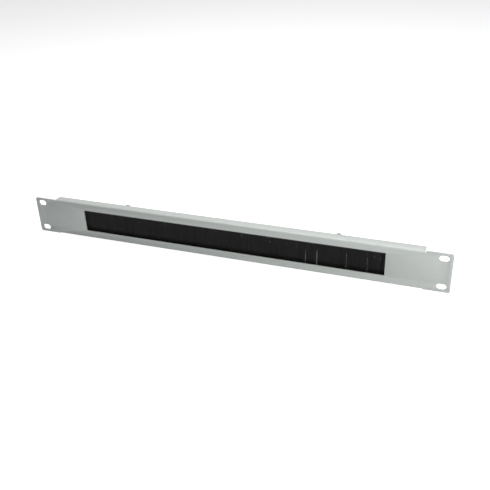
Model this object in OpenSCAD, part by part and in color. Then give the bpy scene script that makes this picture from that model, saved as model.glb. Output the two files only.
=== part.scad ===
// Rack brush strip panel, one rack unit high, in millimetres.
// A folded steel panel carries a bar of bristle tufts behind its cable window.
// X runs along the panel, Y to the rear and Z up. The origin is the centre of the
// four rack slots, on the rear face of the sheet, which meets the rack's rails.

/* [Panel] */
// Overall width across both ears
panel_w = 482.6; // [470:0.1:500]
// Overall height
panel_h = 43.65; // [42.4:0.05:45]
// Thickness of the folded sheet
sheet_t = 1.5; // [1:0.1:2]
// Radius of the four outer corners
corner_r = 2; // [0.5:0.25:4]

/* [Rack slots] */
// Distance of the slots' centres from the panel's ends
slot_edge_x = 8.75; // [8.5:0.05:10]
// Distance of the slots' centres from the panel's upper and lower edges
slot_edge_z = 5.95; // [5.6:0.05:6.5]
// Length of a slot, end to end
slot_l = 12; // [9:0.5:13]
// Width of a slot
slot_w = 7; // [6:0.1:7.2]

/* [Cable window] */
// Width of the window
window_w = 352; // [300:1:364]
// Height of the window
window_h = 26.6; // [20:0.2:28]
// Radius of the window's corners
window_r = 0.5; // [0.2:0.1:3]

/* [Flanges] */
// Length of the ears, from the ends of the flanges
ear_l = 27.8; // [22:0.1:40]
// Depth of the flanges, from the front face
flange_depth = 10; // [8:0.5:11.5]
// Inside radius of the folds
bend_r = 0.5; // [0.2:0.1:1]
// Width of the relief notch at each end of a fold
relief_w = 1.2; // [1:0.1:3]
// How far a relief notch is cut past the fold
relief_extra = 0.4; // [0.2:0.1:1.5]

/* [Brush bar] */
// Height of the bar
bar_h = 8.9; // [8.8:0.1:11]
// How far the bar reaches past each end of the window
bar_reach = 8; // [5:0.5:12]
// Clearance between the bar and the flange above it
bar_gap = 0.225; // [0.1:0.025:0.4]
// How far the bar stands out behind the flange, so that a nut can turn
bar_proud = 0.5; // [0.2:0.1:1.5]
// Chamfer along the bar's lower and rear edges
bar_chamfer = 0.6; // [0.3:0.1:1]

/* [Bristle tufts] */
// Diameter of a tuft where it leaves the bar
tuft_d = 2.6; // [1.8:0.1:2.7]
// Distance between tufts in a row
tuft_pitch = 4.4; // [4:0.1:6]
// Distance between the two rows
row_gap = 3; // [2.9:0.1:3.6]
// Depth of the bore that a tuft is set in
tuft_seat = 3; // [2.5:0.1:3.1]
// How far the bristles reach below the window
tuft_reach = 4.7; // [2:0.1:5.5]
// Diameter that a tuft would flare to at its tips if it stood alone
tuft_flare_d = 4.7; // [3:0.1:6]
// Clearance between neighbouring tufts
tuft_split = 0.1; // [0.05:0.05:0.4]
// Clearance round a tuft in its bore
tuft_fit = 0.05; // [0.02:0.01:0.1]
// Distance from a bar end to the first tuft
tuft_margin = 3.5; // [2.5:0.5:6]

/* [Tuft anchors] */
// Length of the flat wire anchor that a tuft is folded over
anchor_l = 2.4; // [1.6:0.1:2.5]
// Thickness of an anchor
anchor_t = 0.4; // [0.2:0.05:0.6]
// Height of an anchor
anchor_h = 1.4; // [0.8:0.1:1.8]
// Thickness of the bristles folded over an anchor
anchor_cover = 0.4; // [0.2:0.05:0.6]

/* [Weld studs] */
// Distance of each stud from its end of the bar
stud_inset = 59.5; // [30:0.5:90]
// Diameter of the thread
stud_d = 4; // [3:0.1:4.2]
// Length of a stud from the sheet
stud_l = 16; // [15:0.5:20]
// Diameter of the flange at a stud's foot
stud_foot_d = 5.5; // [4.8:0.1:6]
// Thickness of the flange at a stud's foot
stud_foot_t = 0.8; // [0.4:0.1:1.2]
// Chamfer at a stud's tip
stud_chamfer = 0.5; // [0.2:0.1:0.8]
// Radial clearance of the bar on a stud
stud_fit = 0.25; // [0.1:0.05:0.3]
// Clearance of the bar round a stud's foot
foot_fit = 0.2; // [0.1:0.05:0.4]
// Least material between a stud hole and the tuft bores
bar_web = 0.45; // [0.3:0.05:0.6]

/* [Fasteners] */
// Outer diameter of the flat washers
washer_d = 9; // [7.5:0.1:10]
// Thickness of the flat washers
washer_t = 0.8; // [0.5:0.1:1]
// Outer diameter of the spring washers
spring_d = 7.6; // [6.6:0.1:8]
// Thickness of the spring washers, pressed flat
spring_t = 0.9; // [0.6:0.1:1.2]
// Width of the split in the spring washers
spring_split = 0.7; // [0.4:0.1:1.2]
// Size of the nuts across their flats
nut_af = 7; // [6.6:0.1:8]
// Height of the nuts
nut_h = 3.2; // [2.4:0.1:3.4]
// Radial clearance of a washer on its stud
washer_fit = 0.15; // [0.1:0.05:0.25]
// Radial clearance of a nut's plain bore on its stud
nut_fit = 0.05; // [0.02:0.01:0.1]

/* [Hidden] */

// Circle quality of round work and of the many small bores
round_fn = 48;
bore_fn = 16;
// Overshoot of a cutting tool past the face it opens
over = 1;

// The slots' pattern, 465.1 by 31.75 on a rack panel one unit high
slot_pitch_x = panel_w - 2 * slot_edge_x;
slot_pitch_z = panel_h - 2 * slot_edge_z;

// The fold: outside radius, and the inside face of a flange
fold_r = bend_r + sheet_t;
flange_l = panel_w - 2 * ear_l;
flange_in_z = panel_h / 2 - sheet_t;
flange_rear_y = flange_depth - sheet_t;
relief_depth = fold_r + relief_extra;

// The bar hangs under the upper flange and clears the fold with its front edge
bar_top = flange_in_z - bar_gap;
bar_bottom = bar_top - bar_h;
bar_depth = flange_rear_y + bar_proud;
bar_l = window_w + 2 * bar_reach;
bar_fold_chamfer = bend_r + bar_gap;

// The tufts: rows either side of the bar's middle, tips below the window
front_row_y = bar_depth / 2 - row_gap / 2;
rear_row_y = bar_depth / 2 + row_gap / 2;
front_count = floor((bar_l - 2 * tuft_margin) / tuft_pitch) + 1;
rear_count = front_count - 1;
tuft_free = bar_bottom + window_h / 2 + tuft_reach;
tuft_bore_d = tuft_d + 2 * tuft_fit;
tuft_root_w = tuft_d * cos(180 / 8);
anchor_z = tuft_seat - anchor_cover - anchor_h;

// The studs pass over the tuft bores
stud_spacing = bar_l - 2 * stud_inset;
stud_hole_d = stud_d + 2 * stud_fit;
stud_z = bar_bottom + tuft_seat + bar_web + stud_hole_d / 2;
foot_relief_d = stud_foot_d + 2 * foot_fit;
foot_relief_t = stud_foot_t + foot_fit;

// The stack on each stud, from the bar's rear face
washer_y = bar_depth;
spring_y = washer_y + washer_t;
nut_y = spring_y + spring_t;
washer_bore_d = stud_d + 2 * washer_fit;
nut_bore_d = stud_d + 2 * nut_fit;
// Standard chamfer of a nut's corners, and the round face inside them
nut_corner_d = nut_af / cos(30);
nut_face_d = nut_af * 0.95;
nut_chamfer = (nut_corner_d - nut_face_d) / 2 * tan(30);
// How each nut and spring washer happened to stop when it was tightened
left_turn = 13;
right_turn = -4;
split_turn = 118;
split_slant = 22;

powder_grey = [0.74, 0.76, 0.75];
plastic_black = [0.13, 0.13, 0.13];
bristle_black = [0.09, 0.09, 0.09];
zinc = [0.72, 0.73, 0.74];
wire_grey = [0.6, 0.6, 0.58];

// Centre positions of a row of tufts, spread evenly about the middle
function row_x(count) = [for (i = [0 : count - 1]) (i - (count - 1) / 2) * tuft_pitch];

// Flat outline with round corners, drawn with X along and Y up
module round_outline(w, h, r) {
    square([w, h - 2 * r], center = true);
    square([w - 2 * r, h], center = true);
    for (x = [-1, 1], y = [-1, 1])
        translate([x * (w / 2 - r), y * (h / 2 - r)])
            circle(r = r, $fn = round_fn);
}

// Flat outline of a slot that runs along X
module slot_outline(l, w) {
    square([l - w, w], center = true);
    for (x = [-1, 1])
        translate([x * (l - w) / 2, 0])
            circle(d = w, $fn = round_fn);
}

// Stands a flat outline up as sheet, from the front face to the rear face
module as_sheet() {
    rotate([90, 0, 0])
        linear_extrude(height = sheet_t)
            children();
}

// Runs a Y-Z section along X
module along_x(l) {
    rotate([90, 0, 90])
        linear_extrude(height = l, center = true)
            children();
}

// Aims a shape that stands on Z to the rear, on the axis of one stud
module on_stud(side, y) {
    translate([side * stud_spacing / 2, y, stud_z])
        rotate([-90, 0, 0])
            children();
}

// Section of one fold and its flange, for the upper edge
module fold_section() {
    translate([bend_r, panel_h / 2 - fold_r])
        intersection() {
            difference() {
                circle(r = fold_r, $fn = round_fn);
                circle(r = bend_r, $fn = round_fn);
            }
            translate([-fold_r, 0])
                square(fold_r);
        }
    translate([bend_r, flange_in_z])
        square([flange_rear_y - bend_r, sheet_t]);
}

// Flat blank of the face and ears, short of the folds and notched at their ends
module face_outline() {
    difference() {
        round_outline(panel_w, panel_h, corner_r);
        for (side = [-1, 1])
            translate([0, side * panel_h / 2])
                square([flange_l + 2 * relief_w, 2 * relief_depth], center = true);
        round_outline(window_w, window_h, window_r);
        for (x = [-1, 1], z = [-1, 1])
            translate([x * slot_pitch_x / 2, z * slot_pitch_z / 2])
                slot_outline(slot_l, slot_w);
    }
}

// One folded sheet: the face with its ears, and a flange along each long edge
module panel() {
    color(powder_grey)
        union() {
            as_sheet()
                face_outline();
            for (side = [0, 1])
                mirror([0, 0, side])
                    along_x(flange_l) {
                        fold_section();
                        translate([-sheet_t, panel_h / 2 - relief_depth])
                            square([sheet_t, relief_depth - fold_r]);
                    }
        }
}

// Threaded stud with a foot, welded to the rear of the sheet
module weld_stud(side) {
    color(zinc)
        on_stud(side, 0) {
            cylinder(d = stud_foot_d, h = stud_foot_t, $fn = round_fn);
            cylinder(d = stud_d, h = stud_l - stud_chamfer, $fn = round_fn);
            translate([0, 0, stud_l - stud_chamfer])
                cylinder(d1 = stud_d, d2 = stud_d - 2 * stud_chamfer, h = stud_chamfer, $fn = round_fn);
        }
}

// Section of the bar: its upper front edge is cut back to clear the fold
module bar_section() {
    polygon([
        [0, bar_bottom + bar_chamfer],
        [bar_chamfer, bar_bottom],
        [bar_depth - bar_chamfer, bar_bottom],
        [bar_depth, bar_bottom + bar_chamfer],
        [bar_depth, bar_top - bar_chamfer],
        [bar_depth - bar_chamfer, bar_top],
        [bar_fold_chamfer, bar_top],
        [0, bar_top - bar_fold_chamfer]
    ]);
}

// Blind bores for one row of tufts
module tuft_bores(row_y, count) {
    for (x = row_x(count))
        translate([x, row_y, bar_bottom - over])
            cylinder(d = tuft_bore_d, h = tuft_seat + over, $fn = bore_fn);
}

// Hole for a stud, and a relief for its foot that is open at the bar's top
module stud_seat(side) {
    on_stud(side, -over)
        cylinder(d = stud_hole_d, h = bar_depth + 2 * over, $fn = round_fn);
    on_stud(side, -over)
        cylinder(d = foot_relief_d, h = foot_relief_t + over, $fn = round_fn);
    translate([side * stud_spacing / 2 - foot_relief_d / 2, -over, stud_z])
        cube([foot_relief_d, foot_relief_t + over, bar_top - stud_z + over]);
}

module brush_bar() {
    color(plastic_black)
        difference() {
            along_x(bar_l)
                bar_section();
            tuft_bores(front_row_y, front_count);
            tuft_bores(rear_row_y, rear_count);
            for (side = [-1, 1])
                stud_seat(side);
        }
}

// Room for the anchor, right through a tuft's folded root
module anchor_room() {
    translate([-tuft_d, -anchor_t / 2, anchor_z])
        cube([2 * tuft_d, anchor_t, anchor_h]);
}

// Two opposite sides of a tuft: upright in the bore, then leaning apart to its tips
module tuft_sides(tip_w) {
    rotate([90, 0, 0])
        linear_extrude(height = 2 * tuft_flare_d, center = true)
            polygon([
                [-tip_w / 2, -tuft_free],
                [tip_w / 2, -tuft_free],
                [tuft_root_w / 2, 0],
                [tuft_root_w / 2, tuft_seat],
                [-tuft_root_w / 2, tuft_seat],
                [-tuft_root_w / 2, 0]
            ]);
}

// A bundle of bristles, folded in two over its anchor. It has eight sides, fills its
// bore and flares below it, until it meets the tufts beside it and behind it.
module tuft() {
    difference() {
        intersection() {
            tuft_sides(tuft_pitch - tuft_split);
            rotate(90)
                tuft_sides(row_gap - tuft_split);
            rotate(45)
                tuft_sides(tuft_flare_d);
            rotate(-45)
                tuft_sides(tuft_flare_d);
        }
        anchor_room();
    }
}

module tuft_row(row_y, count) {
    color(bristle_black)
        for (x = row_x(count))
            translate([x, row_y, bar_bottom])
                tuft();
}

// Flat wire anchors, one in the fold of each tuft
module anchor_row(row_y, count) {
    color(wire_grey)
        for (x = row_x(count))
            translate([x - anchor_l / 2, row_y - anchor_t / 2, bar_bottom + anchor_z])
                cube([anchor_l, anchor_t, anchor_h]);
}

module flat_washer(side) {
    color(zinc)
        on_stud(side, washer_y)
            difference() {
                cylinder(d = washer_d, h = washer_t, $fn = round_fn);
                translate([0, 0, -over])
                    cylinder(d = washer_bore_d, h = washer_t + 2 * over, $fn = round_fn);
            }
}

// Split spring washer, pressed flat, with a slanting split
module spring_washer(side, turn) {
    color(zinc)
        on_stud(side, spring_y)
            rotate(turn)
                difference() {
                    cylinder(d = spring_d, h = spring_t, $fn = round_fn);
                    translate([0, 0, -over])
                        cylinder(d = washer_bore_d, h = spring_t + 2 * over, $fn = round_fn);
                    translate([spring_d / 2, 0, spring_t / 2])
                        rotate([split_slant, 0, 0])
                            cube([spring_d, spring_split, 2 * spring_d], center = true);
                }
}

// Outline of a nut's body of revolution, which rounds off the hexagon's corners
module nut_profile() {
    polygon([
        [0, 0],
        [nut_face_d / 2, 0],
        [nut_corner_d / 2, nut_chamfer],
        [nut_corner_d / 2, nut_h - nut_chamfer],
        [nut_face_d / 2, nut_h],
        [0, nut_h]
    ]);
}

module hex_nut(side, turn) {
    color(zinc)
        on_stud(side, nut_y)
            difference() {
                intersection() {
                    rotate(turn)
                        cylinder(d = nut_corner_d, h = nut_h, $fn = 6);
                    rotate_extrude($fn = round_fn)
                        nut_profile();
                }
                translate([0, 0, -over])
                    cylinder(d = nut_bore_d, h = nut_h + 2 * over, $fn = round_fn);
            }
}

panel();
weld_stud(-1);  // left_weld_stud
weld_stud(1);  // right_weld_stud
brush_bar();
tuft_row(front_row_y, front_count);  // front_tufts
tuft_row(rear_row_y, rear_count);  // rear_tufts
anchor_row(front_row_y, front_count);  // front_tuft_anchors
anchor_row(rear_row_y, rear_count);  // rear_tuft_anchors
flat_washer(-1);  // left_washer
flat_washer(1);  // right_washer
spring_washer(-1, split_turn);  // left_spring_washer
spring_washer(1, -split_turn);  // right_spring_washer
hex_nut(-1, left_turn);  // left_nut
hex_nut(1, right_turn);  // right_nut
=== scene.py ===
"""The looks of a rack brush strip panel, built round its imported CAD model.

It is laid out as an add-on: sizes and colours are properties, each group of pieces has
its own operator, and main() runs the operators in order.
"""

import math

import bmesh
import bpy
import numpy as np
from bpy.props import FloatProperty, FloatVectorProperty, IntProperty, PointerProperty
from mathutils import Matrix, Vector


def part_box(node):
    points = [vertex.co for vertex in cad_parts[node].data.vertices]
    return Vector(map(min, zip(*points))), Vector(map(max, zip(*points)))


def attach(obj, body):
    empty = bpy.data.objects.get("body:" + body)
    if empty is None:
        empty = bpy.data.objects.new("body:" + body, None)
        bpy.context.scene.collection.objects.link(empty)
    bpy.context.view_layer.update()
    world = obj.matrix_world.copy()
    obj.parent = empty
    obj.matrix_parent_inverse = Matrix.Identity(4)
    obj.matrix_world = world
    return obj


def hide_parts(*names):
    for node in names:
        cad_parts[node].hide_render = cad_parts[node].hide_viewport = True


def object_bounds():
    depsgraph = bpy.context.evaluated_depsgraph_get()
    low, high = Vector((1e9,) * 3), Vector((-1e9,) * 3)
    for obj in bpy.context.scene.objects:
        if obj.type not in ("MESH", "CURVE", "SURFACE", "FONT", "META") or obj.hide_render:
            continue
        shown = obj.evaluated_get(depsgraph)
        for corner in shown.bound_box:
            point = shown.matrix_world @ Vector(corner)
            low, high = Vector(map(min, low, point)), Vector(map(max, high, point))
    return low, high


bl_info = {
    "name": "Rack brush strip panel",
    "version": (1, 0, 0),
    "blender": (4, 5, 0),
    "location": "3D View > Sidebar > Brush Panel",
    "description": "Bristles, threads, finishes and a studio for a rack brush strip panel",
    "category": "Object",
}

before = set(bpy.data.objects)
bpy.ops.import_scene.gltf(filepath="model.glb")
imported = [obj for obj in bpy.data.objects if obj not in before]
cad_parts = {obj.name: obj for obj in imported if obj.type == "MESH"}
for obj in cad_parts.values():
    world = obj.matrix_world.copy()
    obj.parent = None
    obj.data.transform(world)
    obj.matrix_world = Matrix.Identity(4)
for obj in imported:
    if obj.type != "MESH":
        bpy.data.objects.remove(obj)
CAD_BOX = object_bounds()
BODY = "root"

MM = 0.001
SIDES = ("left", "right")
GOLDEN_ANGLE = math.pi * (3 - math.sqrt(5))
# Points of the part closer than this are the same point
TOUCH = 0.01 * MM

# Square lamps that face their targets: name, place, target, size and power in watts
LAMPS = (
    ("overhead", (0.0, 0.7, 1.5), (0, 0, 0), 1.4, 5.27),
    ("overfront", (0.0, 0.1, 1.5), (0, 0, 0), 1.2, 17.2),
    ("key", (0.6, -0.5, 0.35), (0.1, 0, 0), 0.5, 3.91),
)


# ---------------------------------------------------------------------------
# Properties
# ---------------------------------------------------------------------------


class BristleSettings(bpy.types.PropertyGroup):
    """Sizes of the filaments that hang from the brush bar."""

    filaments: IntProperty(
        name="Filaments", description="Filament ends in one tuft", default=60, min=12, max=80
    )
    diameter: FloatProperty(
        name="Diameter", description="Diameter of a filament", default=0.3 * MM, unit="LENGTH"
    )
    root: FloatProperty(
        name="Root", description="Diameter of a tuft in its bore", default=2.6 * MM, unit="LENGTH"
    )
    inset: FloatProperty(
        name="Inset",
        description="How far the filaments start inside their bore",
        default=0.5 * MM,
        unit="LENGTH",
    )
    spread: FloatProperty(
        name="Spread",
        description="Width of a tuft's tips, as a share of the distance between tufts",
        default=1.35,
    )
    sway: FloatProperty(
        name="Sway",
        description="How far a tip strays from its place",
        default=0.5 * MM,
        unit="LENGTH",
    )
    uneven: FloatProperty(
        name="Uneven tips",
        description="Spread of the tips' heights after trimming",
        default=0.4 * MM,
        unit="LENGTH",
    )
    seed: IntProperty(name="Seed", description="Start of the random numbers", default=7)


class SheetSettings(bpy.types.PropertyGroup):
    """Sizes of the coated sheet where it is finer than the solid."""

    slot_spacing: FloatVectorProperty(
        name="Slot spacing",
        description="Distances between the rack slots' centres",
        size=2,
        default=(465.1 * MM, 31.75 * MM),
    )
    slot_cut: FloatVectorProperty(
        name="Cut slot",
        description="Length and width of a slot in the solid",
        size=2,
        default=(12 * MM, 7 * MM),
    )
    slot_coated: FloatVectorProperty(
        name="Coated slot",
        description="Length and width that a slot shows",
        size=2,
        default=(10 * MM, 6.5 * MM),
    )
    flange_reach: FloatProperty(
        name="Flange reach",
        description="How far each flange's end goes out towards its ear",
        default=0.6 * MM,
        unit="LENGTH",
    )
    edge: FloatProperty(
        name="Coated edge",
        description="Radius that the coat gives to the sheet's edges",
        default=0.1 * MM,
        unit="LENGTH",
    )


class ThreadSettings(bpy.types.PropertyGroup):
    """Sizes of the thread on the weld studs."""

    pitch: FloatProperty(
        name="Pitch", description="Distance between threads", default=0.7 * MM, unit="LENGTH"
    )
    depth: FloatProperty(
        name="Depth", description="Depth of the thread", default=0.38 * MM, unit="LENGTH"
    )
    foot: FloatProperty(
        name="Foot", description="Thickness of the foot's flange", default=0.8 * MM, unit="LENGTH"
    )
    diameter: FloatProperty(
        name="Diameter", description="Outside diameter of the thread", default=4 * MM, unit="LENGTH"
    )
    chamfer: FloatProperty(
        name="Chamfer", description="Chamfer at the stud's tip", default=0.5 * MM, unit="LENGTH"
    )


class FinishSettings(bpy.types.PropertyGroup):
    """Colours of the finishes."""

    coat: FloatVectorProperty(
        name="Powder coat",
        description="Colour of the panel's coat",
        subtype="COLOR",
        size=3,
        default=(0.566, 0.600, 0.580),
    )
    bristle: FloatVectorProperty(
        name="Bristle",
        description="Colour of the nylon filaments",
        subtype="COLOR",
        size=3,
        default=(0.012, 0.0128, 0.0118),
    )
    bar: FloatVectorProperty(
        name="Bar",
        description="Colour of the brush bar's plastic",
        subtype="COLOR",
        size=3,
        default=(0.016, 0.016, 0.017),
    )
    zinc: FloatVectorProperty(
        name="Zinc",
        description="Colour of the zinc plate",
        subtype="COLOR",
        size=3,
        default=(0.22, 0.23, 0.24),
    )
    wire: FloatVectorProperty(
        name="Anchor wire",
        description="Colour of the anchors' drawn wire",
        subtype="COLOR",
        size=3,
        default=(0.44, 0.44, 0.42),
    )


class StudioSettings(bpy.types.PropertyGroup):
    """The floor, the lamps and the camera."""

    floor: FloatProperty(
        name="Floor", description="Length of the floor's sides", default=16.0, unit="LENGTH"
    )
    floor_grey: FloatProperty(
        name="Floor grey", description="How much light the floor throws back", default=0.6
    )
    floor_glow: FloatProperty(
        name="Floor glow", description="What the floor adds for the eye alone", default=0.75
    )
    surround: FloatProperty(
        name="Surround", description="Brightness of the surround for the eye", default=1.0
    )
    aim: FloatVectorProperty(
        name="Aim",
        description="Point in the middle of the view",
        subtype="XYZ",
        size=3,
        default=(0.0252, -0.0015, -0.0011),
    )
    distance: FloatProperty(
        name="Distance", description="From the camera to its aim", default=0.7242, unit="LENGTH"
    )
    azimuth: FloatProperty(
        name="Azimuth",
        description="How far the camera stands to the right",
        subtype="ANGLE",
        default=math.radians(21.62),
    )
    elevation: FloatProperty(
        name="Elevation",
        description="How far the camera looks down",
        subtype="ANGLE",
        default=math.radians(28.17),
    )
    roll: FloatProperty(
        name="Roll",
        description="How far the camera leans over",
        subtype="ANGLE",
        default=math.radians(-2.21),
    )
    lens: FloatProperty(name="Lens", description="Focal length in mm", default=49.18)


# ---------------------------------------------------------------------------
# Shader building
# ---------------------------------------------------------------------------


class Value:
    """A number socket that can be used in Python expressions, which add Math nodes."""

    def __init__(self, build, socket):
        self.build = build
        self.socket = socket

    def _math(self, operation, first, second):
        node = self.build.node(
            "ShaderNodeMath", {"operation": operation}, {0: first, 1: second}
        )
        return Value(self.build, node.outputs[0])

    def __add__(self, other):
        return self._math("ADD", self, other)

    __radd__ = __add__

    def __mul__(self, other):
        return self._math("MULTIPLY", self, other)

    __rmul__ = __mul__

    def at_least(self, other):
        """The larger of the two numbers."""
        return self._math("MAXIMUM", self, other)


class Finish:
    """Builds one material's nodes."""

    def __init__(self, name):
        self.material = bpy.data.materials.new(name)
        self.material.use_nodes = True
        self.tree = self.material.node_tree
        self.tree.nodes.clear()
        self.output = self.node("ShaderNodeOutputMaterial")

    def node(self, kind, settings=None, inputs=None):
        """Adds a node, sets it up and fills its sockets with values or links."""
        node = self.tree.nodes.new(kind)
        for key, value in (settings or {}).items():
            setattr(node, key, value)
        for key, value in (inputs or {}).items():
            socket = node.inputs[key]
            if isinstance(value, Value):
                value = value.socket
            if isinstance(value, bpy.types.NodeSocket):
                self.tree.links.new(value, socket)
            else:
                socket.default_value = value
        return node

    def place(self):
        """The point on the piece, in metres."""
        return self.node("ShaderNodeTexCoord").outputs["Object"]

    def noise(self, grain, detail=2.0, rough=0.5, stretch=(1, 1, 1)):
        """Noise with features of about one grain, in metres, stretched along some axes."""
        spread = self.node(
            "ShaderNodeMapping",
            inputs={"Vector": self.place(), "Scale": [1 / (grain * s) for s in stretch]},
        )
        texture = self.node(
            "ShaderNodeTexNoise",
            inputs={
                "Vector": spread.outputs[0],
                "Scale": 1.0,
                "Detail": detail,
                "Roughness": rough,
            },
        )
        return Value(self, texture.outputs["Fac"])

    def shades(self, factor, dark, light):
        """A colour between two others."""
        mix = self.node(
            "ShaderNodeMix",
            {"data_type": "RGBA", "clamp_factor": True},
            {"Factor": factor, "A": (*dark, 1), "B": (*light, 1)},
        )
        return mix.outputs["Result"]

    def bump(self, height, distance):
        """A normal from a height between 0 and 1, where 1 stands out by the distance."""
        node = self.node("ShaderNodeBump", inputs={"Height": height, "Distance": distance})
        return node.outputs[0]

    def surface(self, inputs):
        """Ends the material in a Principled shader with these sockets."""
        shader = self.node("ShaderNodeBsdfPrincipled", inputs=inputs)
        self.tree.links.new(shader.outputs[0], self.output.inputs["Surface"])
        return self.material


def scaled(colour, share):
    """A colour made lighter or darker."""
    return [channel * share for channel in colour]


def powder_coat(settings):
    """Satin powder coat: a low orange peel, a finer grain on it and a faint mottle."""
    finish = Finish("powder_coat")
    peel = finish.noise(1.6 * MM, detail=1.0)
    grain = finish.noise(0.22 * MM, detail=3.0, rough=0.65)
    mottle = finish.noise(9 * MM, detail=3.0)
    speck = finish.noise(0.35 * MM, detail=1.0)
    tone = 0.6 * mottle + 0.4 * speck
    return finish.surface(
        {
            "Base Color": finish.shades(tone, scaled(settings.coat, 0.96), scaled(settings.coat, 1.04)),
            "Roughness": 0.4 + 0.16 * grain,
            "Normal": finish.bump(0.7 * peel + 0.3 * grain, 0.02 * MM),
        }
    )


def bristle_nylon(settings):
    """Black nylon filament, slightly uneven from one bristle to the next."""
    finish = Finish("bristle_nylon")
    streak = finish.noise(0.4 * MM, detail=1.0, stretch=(1, 1, 14))
    return finish.surface(
        {
            "Base Color": finish.shades(
                streak, scaled(settings.bristle, 0.75), scaled(settings.bristle, 1.3)
            ),
            "Roughness": 0.42 + 0.16 * streak,
            "Specular IOR Level": 0.3,
        }
    )


def bar_plastic(settings):
    """Black moulded plastic with a fine spark-eroded grain."""
    finish = Finish("bar_plastic")
    grain = finish.noise(0.3 * MM, detail=3.0, rough=0.6)
    cloud = finish.noise(6 * MM)
    return finish.surface(
        {
            "Base Color": finish.shades(cloud, scaled(settings.bar, 0.85), scaled(settings.bar, 1.2)),
            "Roughness": 0.5 + 0.15 * grain,
            "Normal": finish.bump(grain, 0.02 * MM),
        }
    )


def plated_metal(name, colour, drawn):
    """Plated or drawn metal: clouded colour, and fine marks stretched along drawn."""
    finish = Finish(name)
    marks = finish.noise(0.25 * MM, detail=3.0, rough=0.6, stretch=drawn)
    cloud = finish.noise(1.5 * MM)
    return finish.surface(
        {
            "Base Color": finish.shades(cloud, scaled(colour, 0.85), scaled(colour, 1.15)),
            "Roughness": 0.24 + 0.2 * marks,
            "Metallic": 1.0,
            "Normal": finish.bump(marks, 0.01 * MM),
        }
    )


# ---------------------------------------------------------------------------
# Mesh building
# ---------------------------------------------------------------------------


def add_mesh(name, points, faces, material):
    """Puts arrays of points (n, 3) and faces (m, 3 or 4) into a piece that rides on the part."""
    mesh = bpy.data.meshes.new(name)
    mesh.from_pydata(points.reshape(-1, 3).tolist(), [], faces)
    mesh.update()
    mesh.shade_smooth()
    piece = bpy.data.objects.new(name, mesh)
    bpy.context.scene.collection.objects.link(piece)
    return dress(piece, material)


def dress(piece, material):
    """Gives a new piece its material and the body that it rides on."""
    piece.data.materials.clear()
    piece.data.materials.append(material)
    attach(piece, BODY)
    return piece


def paint(node, material):
    """Gives a CAD node another material, with its mesh as it is."""
    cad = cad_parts[node]
    cad.data.materials.clear()
    cad.data.materials.append(material)


def tube_faces(runs, rings, sides):
    """Faces of many closed tubes whose points lie as (run, ring, side), sides going round
    so that each face points out: a quad between neighbours, and a face on each end."""
    index = np.arange(runs * rings * sides).reshape(runs, rings, sides)
    onward = np.roll(index, -1, axis=2)
    wall = np.stack(
        [index[:, :-1], onward[:, :-1], onward[:, 1:], index[:, 1:]], axis=-1
    ).reshape(-1, 4)
    start = index[:, 0, ::-1]
    end = index[:, -1, :]
    return wall.tolist() + start.tolist() + end.tolist()


def filament_tubes(roots, tips, start_z, mouth_z, end_z, radius, rings=6, sides=3):
    """Points of hanging filaments, as (filament, ring, side, xyz).

    Along a filament t goes from 0 at its bore's mouth to 1 at its tip. Its height falls
    evenly with t, and its place is root + (tip - root) * (1 - (1 - t) ** 9), so a tuft
    opens quickly below the bar. The rings lie closer together there. One ring more lies
    inside the bore, over the root. Each ring is a regular polygon of the filament's
    radius in the level plane.
    """
    t = np.linspace(0, 1, rings) ** 2
    ease = 1 - (1 - t) ** 9
    level = roots[:, None, :] + (tips - roots)[:, None, :] * ease[None, :, None]
    height = mouth_z + (end_z[:, None] - mouth_z) * t[None, :]
    level = np.concatenate([roots[:, None, :], level], axis=1)
    height = np.concatenate([np.full((len(roots), 1), start_z), height], axis=1)
    centre = np.concatenate([level, height[..., None]], axis=2)
    turn = -2 * np.pi * np.arange(sides) / sides
    ring = np.stack([np.cos(turn), np.sin(turn), np.zeros(sides)], axis=-1) * radius
    return centre[:, :, None, :] + ring[None, None, :, :]


def threaded_rod(length, foot_radius, settings, turns=28, steps=6):
    """Points (row, column, xyz) of a threaded stud along +Z, and its faces.

    Up to the foot's thickness the radius is the foot's. Above it the radius at height h
    and angle a is radius - depth * |2 * frac(h / pitch - a / 2 pi) - 1|, or the tip's
    chamfer where that is smaller. The foot's rim and the thread's first row lie a
    thousandth of the foot apart.
    """
    foot, pitch, chamfer = settings.foot, settings.pitch, settings.chamfer
    radius = settings.diameter / 2
    rows = np.concatenate(
        [[0, 0.999 * foot], np.linspace(foot, length, int((length - foot) / pitch * steps))]
    )
    angle = 2 * np.pi * np.arange(turns) / turns
    height, around = np.meshgrid(rows, angle, indexing="ij")
    phase = np.mod(height / pitch - around / (2 * np.pi), 1)
    thread = radius - settings.depth * np.abs(2 * phase - 1)
    tip = radius - np.clip(height - (length - chamfer), 0, chamfer)
    wide = np.where(height < foot, foot_radius, np.minimum(thread, tip))
    points = np.stack([wide * np.cos(around), wide * np.sin(around), height], axis=-1)
    return points, tube_faces(1, len(rows), turns)


def along_y(points, x, z):
    """Turns points made along +Z so that they run along +Y, from y = 0, at x and z."""
    return np.stack(
        [points[..., 0] + x, points[..., 2], -points[..., 1] + z], axis=-1
    )


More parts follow.
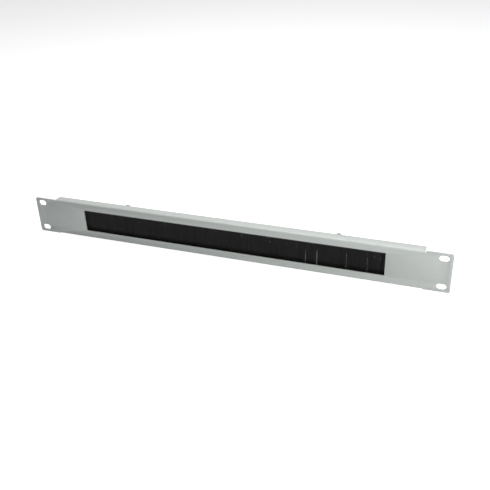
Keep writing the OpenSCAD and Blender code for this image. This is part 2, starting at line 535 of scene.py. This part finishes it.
def narrowed_slots(points, settings):
    """Moves the rims of the four rack slots in. A rim is two half circles, so a point's
    place round its half circle's centre shrinks by the ratio of the two widths, and the
    centre goes to where the shorter slot has it."""
    cut, coated = np.array(settings.slot_cut), np.array(settings.slot_coated)
    shrink = coated[1] / cut[1]
    old_centre, new_centre = (cut[0] - cut[1]) / 2, (coated[0] - coated[1]) / 2
    half_x, half_z = np.array(settings.slot_spacing) / 2
    for x in (-half_x, half_x):
        for z in (-half_z, half_z):
            rim = (np.abs(points[:, (0, 2)] - (x, z)) < cut / 2 + TOUCH).all(axis=1)
            along = points[rim, 0] - x
            side = np.sign(along)
            points[rim, 0] = x + side * new_centre + (along - side * old_centre) * shrink
            points[rim, 2] = z + (points[rim, 2] - z) * shrink
    return points


def longer_flanges(points, settings):
    """Moves the ends of both flanges out, which leaves a narrower slit beside each."""
    span = np.abs(points[:, 0])
    behind = points[:, 1] > MM
    ends = np.abs(span - span[behind].max()) < TOUCH
    points[ends, 0] += np.sign(points[ends, 0]) * settings.flange_reach
    return points


# ---------------------------------------------------------------------------
# Operators
# ---------------------------------------------------------------------------


class BRUSHPANEL_OT_sheet(bpy.types.Operator):
    """Make the folded panel, with the soft edges that its coat gives it"""

    bl_idname = "brushpanel.sheet"
    bl_label = "Folded panel"

    def execute(self, context):
        settings = context.scene.brush_sheet
        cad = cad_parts["panel"]
        mesh = cad.data.copy()
        mesh.name = "coated_panel"
        shell = bmesh.new()
        shell.from_mesh(mesh)
        bmesh.ops.remove_doubles(shell, verts=shell.verts, dist=0.001 * MM)
        bmesh.ops.dissolve_limit(
            shell, angle_limit=math.radians(0.5), verts=shell.verts, edges=shell.edges
        )
        shell.to_mesh(mesh)
        shell.free()
        points = np.empty(len(mesh.vertices) * 3, np.float32)
        mesh.vertices.foreach_get("co", points)
        points = narrowed_slots(points.reshape(-1, 3), settings)
        points = longer_flanges(points, settings)
        mesh.vertices.foreach_set("co", points.ravel())
        mesh.update()
        mesh.shade_smooth()
        piece = bpy.data.objects.new("coated_panel", mesh)
        context.scene.collection.objects.link(piece)
        bevel = piece.modifiers.new("coated_edges", "BEVEL")
        bevel.width = settings.edge
        bevel.segments = 2
        bevel.limit_method = "ANGLE"
        bevel.angle_limit = math.radians(40)
        bevel.harden_normals = True
        dress(piece, powder_coat(context.scene.brush_finish))
        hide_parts("panel")
        return {"FINISHED"}


class BRUSHPANEL_OT_bar(bpy.types.Operator):
    """Give the brush bar its plastic and the tufts' anchors their wire"""

    bl_idname = "brushpanel.bar"
    bl_label = "Brush bar"

    def execute(self, context):
        settings = context.scene.brush_finish
        paint("brush_bar", bar_plastic(settings))
        wire = plated_metal("anchor_wire", settings.wire, (8, 1, 1))
        for row in ("front", "rear"):
            paint(f"{row}_tuft_anchors", wire)
        return {"FINISHED"}


class BRUSHPANEL_OT_bristles(bpy.types.Operator):
    """Hang the filaments of both rows of tufts"""

    bl_idname = "brushpanel.bristles"
    bl_label = "Bristles"

    def execute(self, context):
        settings = context.scene.brush_bristles
        nylon = bristle_nylon(context.scene.brush_finish)
        mouth_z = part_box("brush_bar")[0].z
        random = np.random.default_rng(settings.seed)
        for row in ("front", "rear"):
            self.hang_row(row, mouth_z, settings, nylon, random)
        return {"FINISHED"}

    def hang_row(self, row, mouth_z, settings, nylon, random):
        """One row: filaments spread over a round root and, at the tips, over a
        rectangle that meets the next tufts. Both spreads follow one sunflower order,
        which is turned at random from tuft to tuft."""
        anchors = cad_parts[f"{row}_tuft_anchors"]
        places = tuft_places(anchors)
        low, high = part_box(f"{row}_tufts")
        middle_y = (low.y + high.y) / 2
        pitch = (places[-1] - places[0]) / (len(places) - 1)
        half = np.array([pitch, high.y - low.y]) / 2
        count = settings.filaments
        order = np.arange(count) + 0.5
        share = np.sqrt(order / count)
        turned = random.uniform(0, 2 * np.pi, (len(places), 1))
        turn = order * GOLDEN_ANGLE + turned
        disc = np.stack([share * np.cos(turn), share * np.sin(turn)], axis=-1)
        square = disc / np.abs(disc / share[:, None]).max(axis=-1, keepdims=True)
        centres = np.stack([places, np.full(len(places), middle_y)], axis=-1)[:, None, :]
        roots = centres + disc * (settings.root - settings.diameter) / 2
        jitter = random.normal(0, 0.5, (len(places), count, 2)) * settings.sway
        tips = centres + square * half * (settings.spread, 1) + jitter
        tips[..., 1] = np.clip(tips[..., 1], low.y - settings.sway, high.y + settings.sway)
        trim = random.uniform(0, 1, len(places) * count) * settings.uneven
        points = filament_tubes(
            roots.reshape(-1, 2),
            tips.reshape(-1, 2),
            mouth_z + settings.inset,
            mouth_z,
            low.z + trim,
            settings.diameter / 2,
        )
        faces = tube_faces(*points.shape[:3])
        piece = add_mesh(f"{row}_bristles", points, faces, nylon)
        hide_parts(f"{row}_tufts")


def tuft_places(anchors):
    """The middle of each tuft along the bar. Sorted along X, the anchors' corners give
    one place for each left end and the next for its right end, in turn."""
    co = np.empty(len(anchors.data.vertices) * 3, np.float32)
    anchors.data.vertices.foreach_get("co", co)
    x = np.sort(co[::3])
    ends = x[np.append(True, np.diff(x) > 0.1 * MM)]
    return (ends[0::2] + ends[1::2]) / 2


class BRUSHPANEL_OT_fasteners(bpy.types.Operator):
    """Cut the threads on the weld studs and plate the nuts and washers"""

    bl_idname = "brushpanel.fasteners"
    bl_label = "Fasteners"

    def execute(self, context):
        settings = context.scene.brush_thread
        zinc = plated_metal("zinc_plate", context.scene.brush_finish.zinc, (1, 1, 1))
        for side in SIDES:
            for piece in ("washer", "spring_washer", "nut"):
                paint(f"{side}_{piece}", zinc)
            low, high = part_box(f"{side}_weld_stud")
            rod, faces = threaded_rod(high.y - low.y, (high.x - low.x) / 2, settings)
            points = along_y(rod, (low.x + high.x) / 2, (low.z + high.z) / 2)
            thread = add_mesh(f"{side}_threaded_stud", points, faces, zinc)
            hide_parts(f"{side}_weld_stud")
        return {"FINISHED"}


class BRUSHPANEL_OT_studio(bpy.types.Operator):
    """Make the floor, the lamps, the surroundings and the camera"""

    bl_idname = "brushpanel.studio"
    bl_label = "Studio"

    def execute(self, context):
        settings = context.scene.brush_studio
        self.lay_floor(context, settings)
        self.hang_lamps(context)
        self.light_world(context, settings)
        self.place_camera(context, settings)
        context.scene.view_settings.view_transform = "Standard"
        return {"FINISHED"}

    def lay_floor(self, context, settings):
        """A level square under the part. It looks white from the camera and in
        reflections, and a pale grey to the light that it throws back."""
        half = settings.floor / 2
        z = CAD_BOX[0].z
        mesh = bpy.data.meshes.new("floor")
        corners = [(-half, -half, z), (half, -half, z), (half, half, z), (-half, half, z)]
        mesh.from_pydata(corners, [], [(0, 1, 2, 3)])
        floor = bpy.data.objects.new("floor", mesh)
        context.scene.collection.objects.link(floor)
        finish = Finish("pale_floor")
        grey = (*[settings.floor_grey] * 3, 1)
        paper = finish.node("ShaderNodeBsdfDiffuse", inputs={"Color": grey})
        glow = finish.node("ShaderNodeEmission", inputs={"Strength": settings.floor_glow})
        bright = finish.node("ShaderNodeAddShader", inputs={0: paper.outputs[0], 1: glow.outputs[0]})
        mix = finish.node(
            "ShaderNodeMixShader",
            inputs={0: seen(finish), 1: paper.outputs[0], 2: bright.outputs[0]},
        )
        finish.tree.links.new(mix.outputs[0], finish.output.inputs["Surface"])
        mesh.materials.append(finish.material)

    def hang_lamps(self, context):
        """Soft boxes: two overhead, one of them further back, and one at the right in front."""
        for lamp in LAMPS:
            add_lamp(context, *lamp)

    def light_world(self, context, settings):
        """A white surround for the eye and for reflections, which lights nothing itself."""
        world = bpy.data.worlds.new("studio")
        world.use_nodes = True
        context.scene.world = world
        finish = Surround(world)
        dark, white = (
            finish.node("ShaderNodeBackground", inputs={"Color": (1, 1, 1, 1), "Strength": strength})
            for strength in (0.0, settings.surround)
        )
        mix = finish.node(
            "ShaderNodeMixShader", inputs={0: seen(finish), 1: dark.outputs[0], 2: white.outputs[0]}
        )
        finish.tree.links.new(mix.outputs[0], finish.output.inputs["Surface"])

    def place_camera(self, context, settings):
        """A camera at its distance from the aim, turned by azimuth, elevation and roll."""
        turn = (
            Matrix.Rotation(settings.azimuth, 4, "Z")
            @ Matrix.Rotation(math.pi / 2 - settings.elevation, 4, "X")
            @ Matrix.Rotation(settings.roll, 4, "Z")
        )
        camera = bpy.data.objects.new("camera", bpy.data.cameras.new("camera"))
        camera.data.lens = settings.lens
        camera.matrix_world = (
            Matrix.Translation(settings.aim) @ turn @ Matrix.Translation((0, 0, settings.distance))
        )
        context.scene.collection.objects.link(camera)
        context.scene.camera = camera


class Surround(Finish):
    """Builds the world's nodes, with the same methods as a material's."""

    def __init__(self, world):
        self.tree = world.node_tree
        self.tree.nodes.clear()
        self.output = self.node("ShaderNodeOutputWorld")


def seen(finish):
    """1 for what the eye meets directly, in a reflection or through glass, else 0."""
    path = finish.node("ShaderNodeLightPath")
    camera, glossy, through = (
        Value(finish, path.outputs[f"Is {kind} Ray"])
        for kind in ("Camera", "Glossy", "Transmission")
    )
    return camera.at_least(glossy).at_least(through)


def add_lamp(context, name, place, target, size, power):
    """A square soft box that faces its target."""
    data = bpy.data.lights.new(name, "AREA")
    data.size = size
    data.energy = power
    lamp = bpy.data.objects.new(name, data)
    lamp.location = place
    aim = Vector(target) - Vector(place)
    lamp.rotation_euler = aim.to_track_quat("-Z", "Y").to_euler()
    context.scene.collection.objects.link(lamp)


class BRUSHPANEL_PT_sidebar(bpy.types.Panel):
    """Lists the operators in the 3D view's sidebar"""

    bl_idname = "BRUSHPANEL_PT_sidebar"
    bl_label = "Brush strip panel"
    bl_space_type = "VIEW_3D"
    bl_region_type = "UI"
    bl_category = "Brush Panel"

    def draw(self, context):
        for operator in OPERATORS:
            self.layout.operator(operator.bl_idname)


# ---------------------------------------------------------------------------
# Registration
# ---------------------------------------------------------------------------

SETTINGS = {
    "brush_sheet": SheetSettings,
    "brush_bristles": BristleSettings,
    "brush_thread": ThreadSettings,
    "brush_finish": FinishSettings,
    "brush_studio": StudioSettings,
}
OPERATORS = (
    BRUSHPANEL_OT_sheet,
    BRUSHPANEL_OT_bar,
    BRUSHPANEL_OT_bristles,
    BRUSHPANEL_OT_fasteners,
    BRUSHPANEL_OT_studio,
)
CLASSES = (*SETTINGS.values(), *OPERATORS, BRUSHPANEL_PT_sidebar)


def register():
    """Adds the classes, and each group of settings to the scene."""
    for one in CLASSES:
        bpy.utils.register_class(one)
    for name, group in SETTINGS.items():
        setattr(bpy.types.Scene, name, PointerProperty(type=group))


def unregister():
    """Takes away what register added."""
    for name in SETTINGS:
        delattr(bpy.types.Scene, name)
    for one in reversed(CLASSES):
        bpy.utils.unregister_class(one)


def main():
    """Makes every piece and the studio."""
    register()
    bpy.ops.brushpanel.sheet()
    bpy.ops.brushpanel.bar()
    bpy.ops.brushpanel.bristles()
    bpy.ops.brushpanel.fasteners()
    bpy.ops.brushpanel.studio()


if __name__ == "__main__":
    main()
